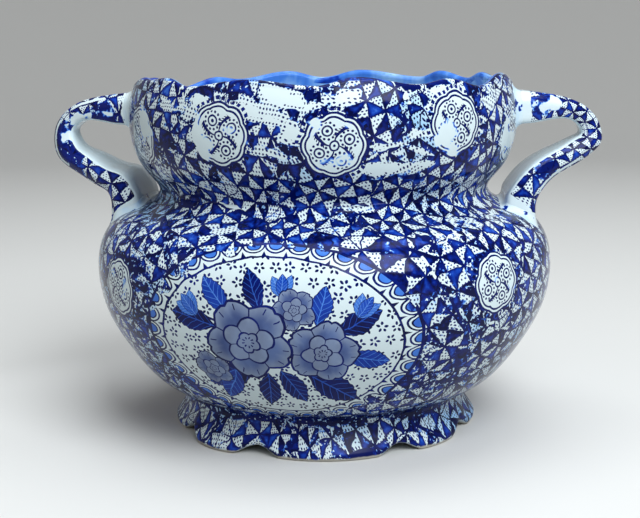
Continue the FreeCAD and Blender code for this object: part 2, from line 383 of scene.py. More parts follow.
class Field:
    """A value in a node tree. Arithmetic on it adds Math nodes, so that a rule reads as a formula."""

    def __init__(self, tree, socket):
        self.tree = tree
        self.socket = socket

    def math(self, operation, *others):
        return add_math(self.tree, operation, self, *others)

    def __rsub__(self, other):
        return add_math(self.tree, "SUBTRACT", other, self)

    __add__ = __radd__ = functools.partialmethod(math, "ADD")
    __sub__ = functools.partialmethod(math, "SUBTRACT")
    __mul__ = __rmul__ = functools.partialmethod(math, "MULTIPLY")
    __truediv__ = functools.partialmethod(math, "DIVIDE")
    __mod__ = functools.partialmethod(math, "FLOORED_MODULO")
    __abs__ = functools.partialmethod(math, "ABSOLUTE")
    __lt__ = functools.partialmethod(math, "LESS_THAN")
    __gt__ = functools.partialmethod(math, "GREATER_THAN")
    least = functools.partialmethod(math, "MINIMUM")
    most = functools.partialmethod(math, "MAXIMUM")
    whole = functools.partialmethod(math, "FLOOR")
    part = functools.partialmethod(math, "FRACT")

    def near(self, value, reach):
        """1 within a reach of a value, else 0."""
        return self.math("COMPARE", value, reach)

    def eased(self, low, high):
        """Turns smoothly from 0 at low to 1 at high; low may be the larger."""
        limits = {"Value": self, "From Min": low, "From Max": high}
        return value_of(self.tree, "ShaderNodeMapRange", limits, interpolation_type="SMOOTHSTEP")


def reach(x, y):
    """Distance of a point from the middle."""
    return (x * x + y * y).math("SQRT")


def union(*masks):
    """1 where any of some masks is."""
    return functools.reduce(Field.most, masks)


def tree_of(values):
    """The tree of the first field among some values."""
    return next(value.tree for value in values if isinstance(value, Field))


def separate(vector):
    made = add_node(vector.tree, "ShaderNodeSeparateXYZ", {0: vector})
    return [Field(vector.tree, socket) for socket in made.outputs]


def combine(x, y, z=0.0):
    return value_of(tree_of((x, y, z)), "ShaderNodeCombineXYZ", {0: x, 1: y, 2: z})


def placed(vector, x, y, turn, size):
    """Coordinates of a motif that is moved, turned by degrees and scaled on its surface."""
    inputs = {"Vector": vector, "Location": (x, y, 0), "Rotation": (0, 0, math.radians(turn)),
              "Scale": (size, size, 1)}
    return separate(value_of(vector.tree, "ShaderNodeMapping", inputs, vector_type="TEXTURE"))[:2]


def cloud(vector, scale, detail=2.0, stretch=(1, 1, 1)):
    """Soft noise from 0 to 1 on object coordinates, at so many waves a metre."""
    waves = tuple(scale * s for s in stretch)
    scaled = value_of(vector.tree, "ShaderNodeMapping", {"Vector": vector, "Scale": waves})
    return value_of(vector.tree, "ShaderNodeTexNoise", {"Vector": scaled, "Scale": 1.0, "Detail": detail})


def blend(share, first, second):
    """Mix of two colours."""
    return value_of(share.tree, "ShaderNodeMix", {0: share, 6: first, 7: second}, 2, data_type="RGBA")


def chance(x, y, z=0.0):
    """A random number and three more for each whole place."""
    tree = x.tree
    made = add_node(tree, "ShaderNodeTexWhiteNoise", {"Vector": combine(x, y, z)}, noise_dimensions="3D")
    return Field(tree, made.outputs["Value"]), separate(Field(tree, made.outputs["Color"]))


def shader_group(name, inputs, outputs):
    """Turns the rule below it, which works out outputs from inputs as fields, into a shader group."""
    def build(rule):
        tree = bpy.data.node_groups.new(name, "ShaderNodeTree")
        for label in inputs:
            kind = "NodeSocketVector" if label == "Place" else "NodeSocketFloat"
            tree.interface.new_socket(label, in_out="INPUT", socket_type=kind)
        for label in outputs:
            kind = "NodeSocketColor" if label == "Color" else "NodeSocketFloat"
            tree.interface.new_socket(label, in_out="OUTPUT", socket_type=kind)
        entry = tree.nodes.new("NodeGroupInput")
        values = rule(*(Field(tree, socket) for socket in entry.outputs[:len(inputs)]))
        leave = tree.nodes.new("NodeGroupOutput")
        for socket, value in zip(leave.inputs, [values] if isinstance(values, Field) else values):
            feed(socket, value)
        return tree

    return build


def use_group(group, *values):
    """Places a group with its inputs, and gives its outputs as fields."""
    tree = tree_of(values)
    made = add_node(tree, "ShaderNodeGroup", node_tree=group)
    for socket, value in zip(made.inputs, values):
        feed(socket, value)
    outputs = [Field(tree, socket) for socket in made.outputs]
    return outputs[0] if len(outputs) == 1 else outputs


# Printed ornament, as density of cobalt from 0 to 1


@shader_group("patchwork_print", ["Across", "Up", "Grain"], ["Ink"])
def patchwork(across, up, grain):
    """Squares of eight triangles, solid and dotted in turn, each with its own strength of colour."""
    x = across.part() - 0.5
    y = up.part() - 0.5
    far_x = abs(x)
    far_y = abs(y)
    slant = far_x - far_y
    border = far_x.least(far_y).least(abs(slant) * 0.7).least(0.5 - far_x).least(0.5 - far_y)
    square_x = across.whole() + (x > 0.0) * 0.3
    square_y = up.whole() + (y > 0.0) * 0.3
    tone, (dot_tone, stray, _) = chance(square_x, square_y, slant > 0.0)
    solid = abs((x * y * slant > 0.0) - (stray < 0.05))
    dot_row = far_y * DOTS_IN_CELL
    dot_x = (far_x * DOTS_IN_CELL + (dot_row.whole() % 2.0) * 0.5).part() - 0.5
    dot_y = dot_row.part() - 0.5
    dots = dot_x * dot_x + dot_y * dot_y < dot_tone * 0.045 + 0.045
    light = dots * DOT_INK
    pooled = (0.10 - border).most(0.0) * 2.4
    dark = (tone * 0.34 + 0.55 + pooled) * grain
    ink = solid * (dark - light) + light
    return ink.most((border < 0.020) * EDGE_INK)


@shader_group("lobed_roundel", ["X", "Y"], ["Ink", "Keep"])
def roundel(x, y):
    """Lobed double ring round four ring-and-dot rosettes and curved fronds, in radii of the roundel."""
    distance = reach(x, y)
    turn = y.math("ARCTAN2", x)
    lobed = distance * (1.03 - abs((turn * 4.0).math("COSINE")) * 0.07)
    lines = union(lobed.near(0.965, 0.036), lobed.near(0.84, 0.030))
    quarter_turn = math.pi / 2
    tilt = 0.35
    side = (((turn + tilt) / quarter_turn).part() - 0.5) * quarter_turn
    along = distance * side.math("COSINE") - 0.50
    beside = distance * side.math("SINE")
    ring = reach(along, beside)
    bead_count = 12
    bead_ring = 0.265
    spot = (beside.math("ARCTAN2", along) * (bead_count / math.tau)).part() - 0.5
    beads = reach(ring - bead_ring, spot * (bead_ring * math.tau / bead_count)) < 0.040
    rosette = union(ring.near(0.150, 0.027), ring < 0.055, beads)
    hub = union(distance.near(0.135, 0.027), distance < 0.040)
    swerve = (distance - 0.42) * 0.9 + tilt
    frond = (((turn + swerve) / quarter_turn + 0.5).part() - 0.5) * distance * quarter_turn
    bristles = ((distance * 13.0).part() < 0.45) * frond.near(0.065, 0.060) * (distance > 0.30)
    stroke = union(abs(frond) < distance * 0.09 + 0.005, bristles) * (distance > 0.15) * (distance < 0.70)
    inner = union(rosette, hub, stroke) * (lobed < 0.78)
    dashes = 36
    fringe = ((turn * (dashes / math.tau)).part() < 0.55) * lobed.near(1.10, 0.06)
    return union(lines, inner) * ROUNDEL_INK + fringe * FRINGE_INK, lobed > 1.0


@shader_group("washed_rose", ["X", "Y"], ["Ink", "Keep", "Wash"])
def rose(x, y):
    """Open rose of two rings of petals round a seeded heart, in radii of the flower."""
    distance = reach(x, y)
    turn = y.math("ARCTAN2", x) * (1 / math.tau)
    petals = 5.0
    petal = (turn * petals).part() - 0.5
    bow = (petal * math.pi).math("COSINE")
    inner_petal = (turn * petals + 0.5).part() - 0.5
    outer_edge = bow * 0.22 + 0.78 - (0.08 - abs(petal)).most(0.0) * 0.7
    inner_edge = (inner_petal * math.pi).math("COSINE") * 0.17 + 0.42
    heart_edge = bow * 0.07 + 0.20
    line = 0.032
    outline = abs(distance - outer_edge) < line
    folds = ((0.5 - abs(petal)) * distance < 0.012) * (distance > inner_edge)
    inner_outline = abs(distance - inner_edge) < 0.024
    inner_folds = ((0.5 - abs(inner_petal)) * distance < 0.009) * (distance > heart_edge)
    inner_folds = inner_folds * (distance < inner_edge)
    heart = abs(distance - heart_edge) < 0.022
    veins = (abs(abs(petal) - 0.17) < 0.012) * (distance > outer_edge - 0.22) * (distance < outer_edge - 0.07)
    seeds = ((turn * 9.0).part() - 0.5).near(0.0, 0.2) * distance.near(0.11, 0.03)
    lines = union(outline, folds, inner_outline, inner_folds, heart, veins, seeds)
    ink = lines * (distance < outer_edge + line) * FLOWER_INK
    shade = (outer_edge - distance).eased(0.0, 0.40) * 0.22 - (inner_edge - distance).eased(0.0, 0.05) * 0.20
    wash = (distance < outer_edge) * (shade + 0.78)
    return ink, distance > outer_edge, wash


@shader_group("brushed_leaf", ["X", "Y", "Strength"], ["Ink", "Keep"])
def leaf(x, y, strength):
    """Pointed leaf with a midrib and side veins, in lengths of the leaf from its stalk."""
    side = abs(y)
    edge = x * (1.0 - x) * (1.0 + (x * 47.0).math("SINE") * 0.05)
    inside = side < edge
    veins = ((x - side * 1.1) * 6.5).part().near(0.5, 0.05).most(side < 0.011)
    outline = (edge - side) < 0.022
    ink = inside * (strength - veins * strength * 0.42).most(outline * FLOWER_INK)
    return ink, side > edge


@shader_group("brushed_stem", ["X", "Y", "Span", "Width"], ["Ink"])
def stem(x, y, span, width):
    """Arc of a stem, in radii of the arc, from its start over a span of turns."""
    turn = (y.math("ARCTAN2", x) / math.tau) % 1.0
    return reach(x, y).near(1.0, width) * (turn < span) * STEM_INK


@shader_group("scattered_sprigs", ["X", "Y"], ["Ink"])
def sprigs(x, y):
    """Scattered blossoms of five short strokes, in cells of their spacing."""
    row = y.whole()
    shifted = x + (row % 2.0) * 0.5
    turn, (jitter_x, jitter_y, _) = chance(shifted.whole(), row)
    local_x = shifted.part() - 0.5 - (jitter_x - 0.5) * 0.34
    local_y = y.part() - 0.5 - (jitter_y - 0.5) * 0.34
    distance = reach(local_x, local_y)
    stroke = (local_y.math("ARCTAN2", local_x) * (5 / math.tau) + turn).part() - 0.5
    width = (abs(stroke) * distance) < 0.078 - abs(distance - 0.26) * 0.35
    return width * distance.near(0.25, 0.125) * FLOWER_INK


def arc_between(start, end, bow):
    """Arc between two points that bows by a distance: middle, start in degrees, radius and span in turns."""
    start = Vector(start)
    end = Vector(end)
    chord = end - start
    radius = (chord.length ** 2 / 4 + bow ** 2) / (2 * abs(bow))
    left = Vector((-chord.y, chord.x)).normalized() * math.copysign(1, bow)
    middle = (start + end) / 2 - left * (radius - abs(bow))
    first, last = (end, start) if bow > 0 else (start, end)
    turn = math.degrees(math.atan2(first.y - middle.y, first.x - middle.x))
    span = (math.degrees(math.atan2(last.y - middle.y, last.x - middle.x)) - turn) % 360
    return middle.x, middle.y, turn, radius, span / 360


@shader_group("oval_panel", ["Place"], ["Ink", "Keep", "Wash"])
def panel(place):
    """Oval panel: a spray of roses among scattered blossoms, inside a border of ringed lappets."""
    x, y, _ = separate(place)
    ink = use_group(sprigs, x / SPRIG_SPACING, y / SPRIG_SPACING)
    washes = []
    for start, end, bow in SPRAY_STEMS:
        left, low, turn, size, span = arc_between(start, end, bow)
        stem_x, stem_y = placed(place, left, low, turn, size)
        ink = ink.most(use_group(stem, stem_x, stem_y, span, STEM_HALF_WIDTH / size))
    buds = [(left, low, turn + fan, size, strength) for left, low, turn, size in SPRAY_BUDS
            for fan, strength in BUD_PETALS]
    for left, low, turn, size, strength in SPRAY_LEAVES + buds:
        leaf_x, leaf_y = placed(place, left, low, turn, size)
        leaf_ink, keep = use_group(leaf, leaf_x, leaf_y, strength)
        ink = ink * keep + leaf_ink
    for left, low, turn, size in SPRAY_ROSES:
        rose_x, rose_y = placed(place, left, low, turn, size)
        rose_ink, keep, rose_wash = use_group(rose, rose_x, rose_y)
        ink = (ink * keep).most(rose_ink)
        washes.append(rose_wash)
    oval_x = x / PANEL_HALF_WIDTH
    oval_y = y / PANEL_HALF_HEIGHT
    out = (reach(oval_x, oval_y) - 1.0) * (PANEL_HALF_HEIGHT / LAPPET_WIDTH)
    lappet = oval_y.math("ARCTAN2", oval_x) * (LAPPETS / math.tau)
    aside = lappet.part() - 0.5
    bow = reach(aside, out - LAPPET_MIDDLE)
    rings = union(bow.near(0.30, 0.035), bow.near(0.47, 0.045))
    points = 0.5 - abs(aside) < (0.36 - out) * 0.45
    edges = union(out.near(0.05, 0.05), out > LAPPET_MIDDLE)
    border = union(union(rings, points, edges) * LAPPET_INK, (bow < 0.27) * LAPPET_TINT)
    inside = out < 0.0
    ink = inside * (ink - border) + border
    overlap = (cloud(place, 60.0, 3.0) - 0.53).most(0.0) * 6.0
    return ink, out + overlap.least(0.8) > LAPPET_EDGE, union(*washes) * inside


@shader_group("sheet_ground", ["Share", "Run", "Place", "Smear and shade", "Wear"], ["Ink"])
def ground(share, run, place, smear_and_shade, wear):
    """Printed sheets cut up and laid over the wall: the patchwork turns and shifts from sheet to sheet.

    Two inputs move the limits past which the print runs together or is missing; the first of them also carries
    the painted shade that some pieces pass in.
    """
    drift = cloud(place, 26.0, 1.0) - 0.5
    lean = cloud(place, 11.0, 1.0, (1, 1, -1)) - 0.5
    hand = cloud(place, 95.0, 2.0, (1, -1, 1)) - 0.5
    torn = combine(hand * 0.022, drift * 0.02, hand * -0.022)
    ragged = value_of(place.tree, "ShaderNodeVectorMath", {0: place, 1: torn}, operation="ADD")
    sheet = {"Vector": ragged, "Scale": SHEETS_A_METRE, "Randomness": 0.9}
    turn, shift, lift = separate(value_of(place.tree, "ShaderNodeTexVoronoi", sheet, "Color"))
    join = value_of(place.tree, "ShaderNodeTexVoronoi", sheet, "Distance", feature="DISTANCE_TO_EDGE")
    angle = (turn - 0.5) * 0.9
    flat_across = share * CELLS_AROUND + drift * 0.8 + lean * 0.6 + hand * 0.32
    flat_up = run / CELL_HEIGHT + lean * 0.8 - drift * 0.6 - hand * 0.32
    across = flat_across * angle.math("COSINE") - flat_up * angle.math("SINE") + shift
    up = flat_across * angle.math("SINE") + flat_up * angle.math("COSINE") + lift
    pool = cloud(place, 55.0, 3.0)
    grain = pool * 0.8 + cloud(place, 330.0, 2.0) * 1.0 + 0.12
    ink = use_group(patchwork, across, up, grain)
    ink = ink + cloud(place, 19.0, 3.0, (1, 1, 1.7)).eased(0.55, 0.70) * 0.16
    # Joins between sheets show as broken lines, and the ink has been dragged here and there.
    drag = cloud(place, 34.0, 4.0, (1, 1, 2.4))
    ink = ink + (join < 0.013) * ((drag > 0.40) * JOIN_INK - ink)
    # Painted shade, where a piece passes it in, darkens the print here together with the dragged ink.
    ink = ink.most((drag + smear_and_shade).eased(0.61, 0.66) * (pool * 0.4 + 0.72))
    spotted = cloud(place, 560.0, 2.0).eased(0.60, 0.64) * (pool + smear_and_shade).eased(0.45, 0.55)
    ink = ink + spotted * (0.85 - (ink > 0.4) * 1.70)
    # Where the print is missing, loose dots edge the bare clay.
    bareness = cloud(place, 41.0, 4.0, (1, 1, -2.0)) + wear
    dot_x = (across * LOOSE_DOTS_IN_CELL).part() - 0.5
    dot_y = (up * LOOSE_DOTS_IN_CELL).part() - 0.5
    loose = (dot_x * dot_x + dot_y * dot_y < 0.07) * (bareness < 0.77) * EDGE_INK
    return ink + bareness.eased(0.66, 0.68) * (loose - ink)


@shader_group("cobalt_under_glaze", ["Ink", "Wash", "Place"], ["Color"])
def cobalt(ink, wash, place):
    """Colour of glazed clay under a density of cobalt, with slate-grey washes."""
    ramp = add_node(ink.tree, "ShaderNodeValToRGB", {0: ink})
    stops = ramp.color_ramp.elements
    while len(stops) < len(COBALT):
        stops.new(1.0)
    for stop, (density, colour) in zip(stops, COBALT):
        stop.position = density
        stop.color = (*colour, 1.0)
    brushed = cloud(place, 110.0, 3.0, (1, 1, 0.5)).eased(0.30, 0.70)
    slate = blend(brushed, SLATE_LIGHT, SLATE_DARK)
    return blend(wash * (ink < 0.5), Field(ink.tree, ramp.outputs[0]), slate)


@shader_group("glaze_ripple", ["Place"], ["Roughness", "Height"])
def glaze(place):
    """Unevenness of the glaze: roughness, and a height for the soft ripple in its gloss."""
    ripple = cloud(place, 70.0, 1.0) + cloud(place, 420.0, 2.0) * 0.06
    dull = cloud(place, 45.0, 4.0).eased(0.50, 0.75)
    return dull * 0.10 + 0.10, ripple


# Finishes


def new_glaze_material(name, dullness=0.0):
    """A glazed material with no colour yet: itself, its shader, object coordinates and print coordinates."""
    material = bpy.data.materials.new(name)
    material.use_nodes = True
    tree = material.node_tree
    shader = tree.nodes["Principled BSDF"]
    shader.inputs["IOR"].default_value = GLAZE_IOR
    shader.inputs["Specular IOR Level"].default_value = GLAZE_GLOSS
    place = value_of(tree, "ShaderNodeTexCoord", output="Object")
    spread = value_of(tree, "ShaderNodeUVMap", uv_map="print")
    roughness, height = use_group(glaze, place)
    ripple = {"Height": height, "Strength": RIPPLE_STRENGTH, "Distance": RIPPLE_DEPTH}
    feed(shader.inputs["Roughness"], roughness + dullness if dullness else roughness)
    feed(shader.inputs["Normal"], value_of(tree, "ShaderNodeBump", ripple))
    return material, shader, place, spread


def paint(shader, place, ink, wash=0.0):
    feed(shader.inputs["Base Color"], use_group(cobalt, ink, wash, place))


def hand_wobble(place):
    """How far a hand-laid line strays, in metres."""
    return (cloud(place, 120.0, 2.0) - 0.5) * 0.0022


def belly_finish():
    """Patchwork with an oval panel front and back, and a roundel on either side of each."""
    material, shader, place, spread = new_glaze_material("belly_print")
    share, run, _ = separate(spread)
    degrees = share * 360.0 + PRINT_JOIN
    # Painted shade: the print is darkened towards the foot, and most in the crease above it, where shade
    # falls. A small even rise adds real smear, and the print opens over the shoulder.
    dark_ink_shift = run.eased(0.014, 0.002) * 0.14 + run.eased(0.060, 0.010) * 0.03 + 0.01
    shoulder = run.eased(0.100, 0.114) * 0.045
    ink = use_group(ground, share, run, place, dark_ink_shift - shoulder, shoulder - 0.03)
    half_turn = (degrees - (PANEL_ANGLE - 90.0)) % 180.0 - 90.0
    from_middle = (degrees - (ROUNDEL_MIDDLE - 90.0)) % 180.0 - 90.0
    lift = (from_middle > 0.0) * (ROUNDEL_LIFTS[1] - ROUNDEL_LIFTS[0]) + ROUNDEL_LIFTS[0]
    wobble = hand_wobble(place)
    angle, height, size = BELLY_ROUNDEL
    aside = (abs(from_middle) - angle) * (math.radians(PANEL_RADIUS) / size)
    roundel_ink, keep = use_group(roundel, aside, (run - height - lift + wobble) / size)
    worn = cloud(place, 62.0, 3.0).eased(0.30, 0.36)
    ink = ink * keep + roundel_ink * worn
    local = combine(half_turn * math.radians(PANEL_RADIUS) + wobble, run - PANEL_RUN - wobble)
    panel_ink, keep, wash = use_group(panel, local)
    panel_ink = panel_ink * (cloud(place, 90.0, 3.0, (1, -1, 1)) * 0.6 + 0.66)
    ink = keep * (ink - panel_ink) + panel_ink
    outside = abs(run) < INSIDE_RUN / 2
    paint(shader, place, ink * outside, wash * outside)
    return material


def bare_strokes(place, degrees, run):
    """Distance from the gaps where the printed sheets of the collar don't meet, negative within them."""
    section = 360.0 / BARE_REPEATS
    x = ((degrees + section / 2) % section - section / 2) * math.radians(COLLAR_RADIUS)
    here = combine(x, run)
    gaps = []
    for start, low, end, high, half_width in BARE_STROKES:
        along = math.radians(end - start) * COLLAR_RADIUS
        length = math.hypot(along, high - low)
        middle = math.radians((start + end) / 2) * COLLAR_RADIUS
        slope = math.degrees(math.atan2(high - low, along))
        stroke_x, stroke_y = placed(here, middle, (low + high) / 2, slope, 1.0)
        gaps.append(reach((abs(stroke_x) - length / 2).most(0.0), stroke_y) - half_width)
    return functools.reduce(Field.least, gaps) + (cloud(place, 120.0, 3.0) - 0.5) * 0.0050


def collar_finish():
    """Patchwork with roundels round the collar, bare gaps, a brushed rim and a streaky wash inside."""
    material, shader, place, spread = new_glaze_material("collar_print")
    share, run, _ = separate(spread)
    degrees = share * 360.0 + PRINT_JOIN
    # The print wears off towards the rim and around the gaps.
    dark_ink_shift = run.eased(0.150, 0.166) * 0.01 - 0.05
    gap = bare_strokes(place, degrees, run)
    wear = run.eased(0.155, 0.171) * 0.09 - 0.01 + (0.003 - gap).most(0.0).least(0.006) * 55.0
    ink = use_group(ground, share, run, place, dark_ink_shift, wear)
    angle, height, size = COLLAR_ROUNDEL
    spacing = 360.0 / COLLAR_ROUNDELS
    counted = (degrees - angle) / spacing + 2.5
    number = counted.whole() % float(COLLAR_ROUNDELS)
    turned = 0.0
    lift = 0.0
    for slip, (more_degrees, rise) in enumerate(COLLAR_ROUNDEL_SLIPS):
        this_one = (number % float(len(COLLAR_ROUNDEL_SLIPS))).near(slip, 0.5)
        turned = this_one * (more_degrees / spacing) + turned
        lift = this_one * rise + lift
    wobble = hand_wobble(place)
    aside = (counted.part() - 0.5 - turned) * (math.radians(spacing) * COLLAR_RADIUS / size)
    roundel_ink, keep = use_group(roundel, aside, (run - lift - height + wobble) / size)
    # Every third roundel is printed faintly at its left.
    fading = ((number + 1.0) % 3.0 > 1.5) * (0.05 - aside * 0.13)
    worn = (cloud(place, 62.0, 3.0, (1, 1, -1)) - fading).eased(0.37, 0.43)
    blot = cloud(place, 48.0, 4.0, (-1, 1, 1)).eased(0.64, 0.67) * 0.85
    ink = ink * keep + union(roundel_ink * worn, blot * (1.0 - keep))
    depth = run - INSIDE_RUN
    streaks = cloud(place, 30.0, 3.0, (3.0, 3.0, 0.5))
    # Darker patches of the inside wash: partly a thicker wash, partly painted shade on the far inside wall.
    heavy_wash_and_shade = cloud(place, 9.0, 2.0, (1, -1, 1)).eased(0.48, 0.62) * 0.22
    inner_wash = depth.eased(0.022, 0.002) * (streaks * 0.80 - 0.07 + heavy_wash_and_shade) * (run > INSIDE_RUN / 2)
    lip = depth.near(0.0, 0.0016).most(run.near(RIM_RUN, 0.0018))
    lip_line = lip * (cloud(place, 70.0, 3.0) - 0.46).most(0.0) * 3.0
    paint(shader, place, (ink * (run < INSIDE_RUN / 2) + inner_wash).most(lip_line))
    return material


def foot_finish():
    """Patchwork down the lobes, and bare clay where the foot stands."""
    material, shader, place, spread = new_glaze_material("foot_print", FOOT_DULLNESS)
    share, run, _ = separate(spread)
    # Painted shade in the crease: the print is darkened at the top of the foot, under the belly. Towards the
    # sole the print is a little darker too.
    dark_ink_shift = run.eased(-0.007, -0.001) * 0.13 - run.eased(-0.022, -0.017) * 0.09 + 0.06
    ink = use_group(ground, share, run, place, dark_ink_shift, 0.0) * (run < INSIDE_RUN / 2)
    _, _, height = separate(place)
    bare_edge = (cloud(place, 160.0, 3.0) * 0.0018 + 0.0008 - height).eased(-0.0004, 0.0006)
    printed = use_group(cobalt, ink, 0.0, place)
    feed(shader.inputs["Base Color"], blend(bare_edge, printed, BARE_CLAY))
    return material


def handle_finish():
    """Patchwork on the strap's outer and side faces, with bare ridges, roots and underside."""
    material, shader, place, spread = new_glaze_material("handle_print")
    along, across, _ = separate(spread)
    faces = value_of(place.tree, "ShaderNodeUVMap", uv_map="faces")
    face, share, _ = separate(faces)
    drift = cloud(place, 30.0, 2.0) - 0.5
    pool = cloud(place, 60.0, 3.0)
    grain = pool * 0.8 + cloud(place, 330.0, 2.0) * 0.8 + 0.20
    ink = use_group(patchwork, along / HANDLE_CELL + drift * 1.6, across / HANDLE_CELL - drift * 1.2, grain)
    smeared = cloud(place, 38.0, 4.0, (-1, 1, 1)).eased(0.51, 0.55) * (pool * 0.5 + 0.62)
    flecks = cloud(place, 260.0, 3.0).eased(0.58, 0.62)
    ink = ink.most(smeared * (1.0 - flecks * 0.9))
    bare = cloud(place, 46.0, 4.0, (-1, -1, 1)).eased(0.63, 0.65)
    ragged = cloud(place, 140.0, 3.0) - 0.5
    from_middle = abs(face - OUTER_FACE)
    ridge = (abs(from_middle + ragged * 0.3 - 0.85) < 0.14) * (cloud(place, 36.0, 3.0, (-1, 1, 1)) > 0.52)
    printed = (from_middle + ragged * 0.5 < 2.95) * (1.0 - ridge.most(bare))
    from_root = share + ragged * 0.07
    to_right, _, _ = separate(place)
    root = (cloud(place, 60.0, 2.0) - 0.5) * 0.12 + (to_right > 0.0) * 0.040 + 0.040
    paint(shader, place, ink * printed * (from_root > root) * (from_root < 1.0 - root))
    return material


def slip_finish():
    """White slip under clear glaze, with a breath of blue where the glaze pools."""
    material, shader, place, _ = new_glaze_material("white_slip")
    tint = cloud(place, 60.0, 3.0).eased(0.45, 0.75) * 0.10
    stray = cloud(place, 150.0, 3.0).eased(0.62, 0.65) * 0.75
    paint(shader, place, tint.most(stray))
    return material


# Turned pieces


def geometry_group_inputs(tree, sockets):
    """Adds named inputs to a geometry tree and gives them as fields."""
    for label, kind in sockets:
        tree.interface.new_socket(label, in_out="INPUT", socket_type=kind)
    entry = tree.nodes.new("NodeGroupInput")
    return [Field(tree, socket) for socket in entry.outputs[:len(sockets)]]


def make_turning():
    """Turned clay: a section carried round the axis, its points shifted by two waves that run round the pot.

    The section's points hold radius, distance along and height. The waves' points hold the share of a turn
    and the strength of each wave there.
    """
    tree = bpy.data.node_groups.new("turned_clay", "GeometryNodeTree")
    tree.interface.new_socket("Clay", in_out="OUTPUT", socket_type="NodeSocketGeometry")
    section, waves, columns, rows, join, finish = geometry_group_inputs(tree, [
        ("Section", "NodeSocketObject"), ("Waves", "NodeSocketObject"), ("Columns", "NodeSocketInt"),
        ("Rows", "NodeSocketInt"), ("Join", "NodeSocketFloat"), ("Finish", "NodeSocketMaterial")])
    section_shape, wave_shape = [value_of(tree, "GeometryNodeObjectInfo", {"Object": points}, "Geometry")
                                 for points in (section, waves)]
    size = {"Size X": 1.0, "Size Y": 1.0, "Vertices X": columns + 1.0, "Vertices Y": rows}
    clay = value_of(tree, "GeometryNodeMeshGrid", size, "Mesh")
    position = value_of(tree, "GeometryNodeInputPosition")
    grid_x, grid_y, _ = separate(position)
    column = ((grid_x + 0.5) * columns).math("ROUND")
    row = ((grid_y + 0.5) * (rows - 1.0)).math("ROUND")

    def read(shape, value, index):
        return value_of(tree, "GeometryNodeSampleIndex", {"Geometry": shape, "Value": value, "Index": index},
                        data_type="FLOAT_VECTOR", domain="POINT")

    def shift(name):
        named = value_of(tree, "GeometryNodeInputNamedAttribute", {"Name": name}, data_type="FLOAT_VECTOR")
        return read(section_shape, named, row)

    share, first, second = separate(read(wave_shape, position, column))
    point = read(section_shape, position, row)
    for name, strength in (("first_shift", first), ("second_shift", second)):
        inputs = {0: shift(name), 1: strength, 2: point}
        point = value_of(tree, "ShaderNodeVectorMath", inputs, operation="MULTIPLY_ADD")
    radius, run, height = separate(point)
    turn = (share * 360.0 + join) * (math.pi / 180)
    carried = combine(radius * turn.math("SINE"), radius * turn.math("COSINE") * -1.0, height)
    # The print coordinates are worked out on the flat grid, so they are stored before its points move.
    store = {"Name": "print", "Value": combine(share, run)}
    steps = [("StoreNamedAttribute", store, {"data_type": "FLOAT2", "domain": "CORNER"}),
             ("SetPosition", {"Position": carried}, {}), ("MergeByDistance", {"Distance": WELD}, {}),
             ("SetShadeSmooth", {}, {}), ("RealizeInstances", {}, {}),
             ("SetMaterial", {"Material": finish}, {})]
    for kind, inputs, settings in steps:
        clay = value_of(tree, "GeometryNode" + kind, {"Geometry": clay, **inputs}, **settings)
    feed(tree.nodes.new("NodeGroupOutput").inputs[0], clay)
    return tree


turning = make_turning()


def points_object(name, points, shifts=()):
    """Loose points for the turning tree to read, with a named shift for each where there is one."""
    mesh = bpy.data.meshes.new(name)
    mesh.from_pydata([tuple(p) for p in points], [], [])
    for label, values in shifts:
        attribute = mesh.attributes.new(label, "FLOAT_VECTOR", "POINT")
        attribute.data.foreach_set("vector", np.asarray(values, np.float32).ravel())
    made = bpy.data.objects.new(name, mesh)
    bpy.context.scene.collection.objects.link(made)
    return made


def turn_piece(name, section, finish, first_shift=None, second_shift=None, waves=lambda angle: (0.0, 0.0)):
    """Makes a turned piece from its section, as a plain mesh."""
    section = np.asarray(section, float)
    still = np.zeros_like(section)
    shares = [k / COLUMNS for k in range(COLUMNS + 1)]
    wave_points = [(share, *waves(share * 360.0 + PRINT_JOIN)) for share in shares]
    shifts = [("first_shift", still if first_shift is None else first_shift),
              ("second_shift", still if second_shift is None else second_shift)]
    section_object = points_object(name + "_section", section, shifts)
    wave_object = points_object(name + "_waves", wave_points)
    worker = points_object(name + "_worker", [])
    modifier = worker.modifiers.new("turning", "NODES")
    modifier.node_group = turning
    values = {"Section": section_object, "Waves": wave_object, "Columns": COLUMNS, "Rows": len(section),
              "Join": PRINT_JOIN, "Finish": finish}
    for socket in turning.interface.items_tree:
        if socket.in_out == "INPUT":
            modifier[socket.identifier] = values[socket.name]
    bpy.context.view_layer.update()
    evaluated = worker.evaluated_get(bpy.context.evaluated_depsgraph_get())
    mesh = bpy.data.meshes.new_from_object(evaluated)
    worker.modifiers.remove(modifier)
    for helper in (worker, section_object, wave_object):
        bpy.data.objects.remove(helper)
    mesh.name = name
    piece = bpy.data.objects.new(name, mesh)
    bpy.context.scene.collection.objects.link(piece)
    return piece


def as_inside(rows):
    """The same rows from the top down, with distances that mark them as the pot's inside."""
    turned = rows[::-1].copy()
    turned[:, 1] = INSIDE_RUN + rows[-1, 1] - turned[:, 1]
    return turned


def make_belly(finish):
    outside = stretch(WALL, WALL_RUN, BOWL_BASE, SEAM_LOW, WALL_ROWS)
    inside = as_inside(stretch(INSIDE, INSIDE_ALONG, FLOOR_TOP, SEAM_LOW, WALL_ROWS))
    edge_radius = outside[0, 0]
    under = [(radius, -INSIDE_RUN, BOWL_BASE) for radius in np.linspace(0, edge_radius, FLOOR_ROWS)]
    floor = [(radius, 2 * INSIDE_RUN, FLOOR_TOP) for radius in np.linspace(FLOOR_RADIUS, 0, FLOOR_ROWS)]
    return turn_piece("belly_bowl_glazed", np.vstack([under, outside, inside, floor]), finish)


